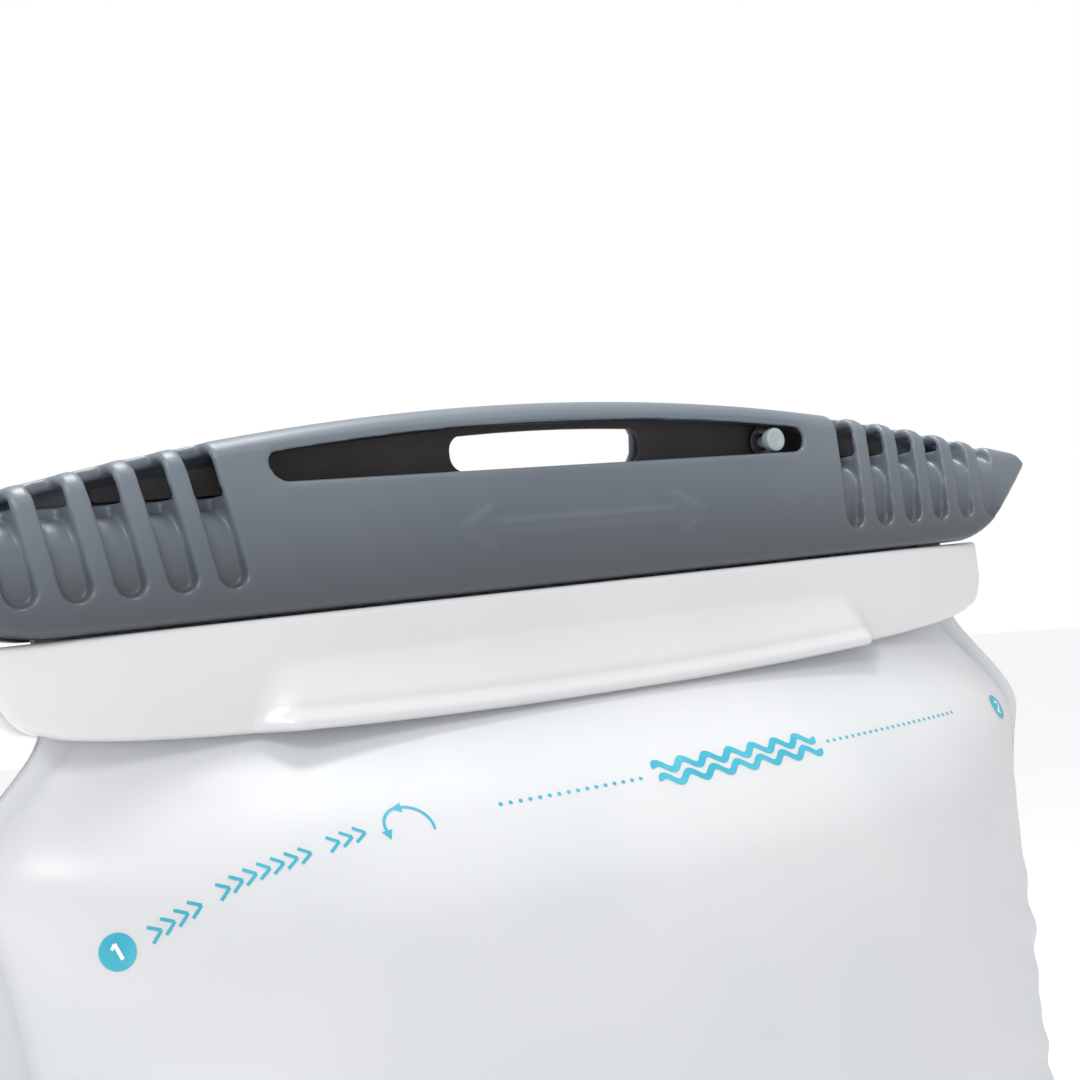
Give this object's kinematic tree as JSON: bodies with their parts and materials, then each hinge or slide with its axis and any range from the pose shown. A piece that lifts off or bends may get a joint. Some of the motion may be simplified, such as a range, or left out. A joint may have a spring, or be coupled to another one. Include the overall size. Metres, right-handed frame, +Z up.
{
  "type": "hydration bladder",
  "caption": "Flat-topped water reservoir with a folded mouth held by a slide-off closure, hung from a slot, with a quick-connect hose port low on its front.",
  "frame": {"origin": "middle of the hang slot through the slider, which is what the bladder hangs from", "axes": "+X along the slider towards its closed end, the way it slides off; -Y out of the front, where the port is; +Z up"},
  "size_m": [0.23, 0.0977, 0.3827],
  "materials": {
    "film": "milky translucent film, smooth with a soft gloss",
    "rail": "white moulded plastic, satin gloss",
    "lip_strip": "white stiffener, matt",
    "slider": "blue-grey moulded plastic, fine satin texture",
    "hang_strip": "near-black, matt",
    "stud": "light grey, satin",
    "washer": "dark, glossy",
    "port_flange": "milky moulded disc",
    "port_housing": "blue-grey moulded plastic, fine satin texture",
    "valve_plastic": "natural acetal, satin",
    "seal": "dark silicone, matt",
    "spring": "bright stainless wire",
    "button": "teal moulded plastic, satin"
  },
  "bodies": {
    "reservoir": {"front_panel": "film", "rear_panel": "film", "front_rail": "rail", "rear_rail": "rail", "front_lip_strip": "lip_strip", "rear_lip_strip": "lip_strip", "port_flange": "port_flange", "port_housing": "port_housing", "housing_nut": "valve_plastic", "socket_ring": "seal", "valve_guide": "valve_plastic", "valve_spring": "spring", "button_spring": "spring"},
    "slider": {"slider_shell": "slider", "hang_strip": "hang_strip", "strip_stud": "stud", "stud_washer": "washer"},
    "valve": {"valve_poppet": "valve_plastic", "poppet_seal": "seal"},
    "button": {"release_button": "button", "latch_plate": "valve_plastic"}
  },
  "joints": [
    {"name": "slider_slide", "type": "slide", "parent": "reservoir", "child": "slider", "axis": [1, 0, 0], "range_m": [0, 0.21]},
    {"name": "button_press", "type": "slide", "parent": "reservoir", "child": "button", "axis": [0, 0, -1], "range_m": [0, 0.0022], "stiffness_N_per_m": 600, "springref_m": -0.002, "deforming": ["button_spring"]},
    {"name": "valve_push", "type": "slide", "parent": "reservoir", "child": "valve", "axis": [0, 1, 0], "range_m": [0, 0.003], "stiffness_N_per_m": 300, "springref_m": -0.002, "deforming": ["valve_spring"]}
  ]
}
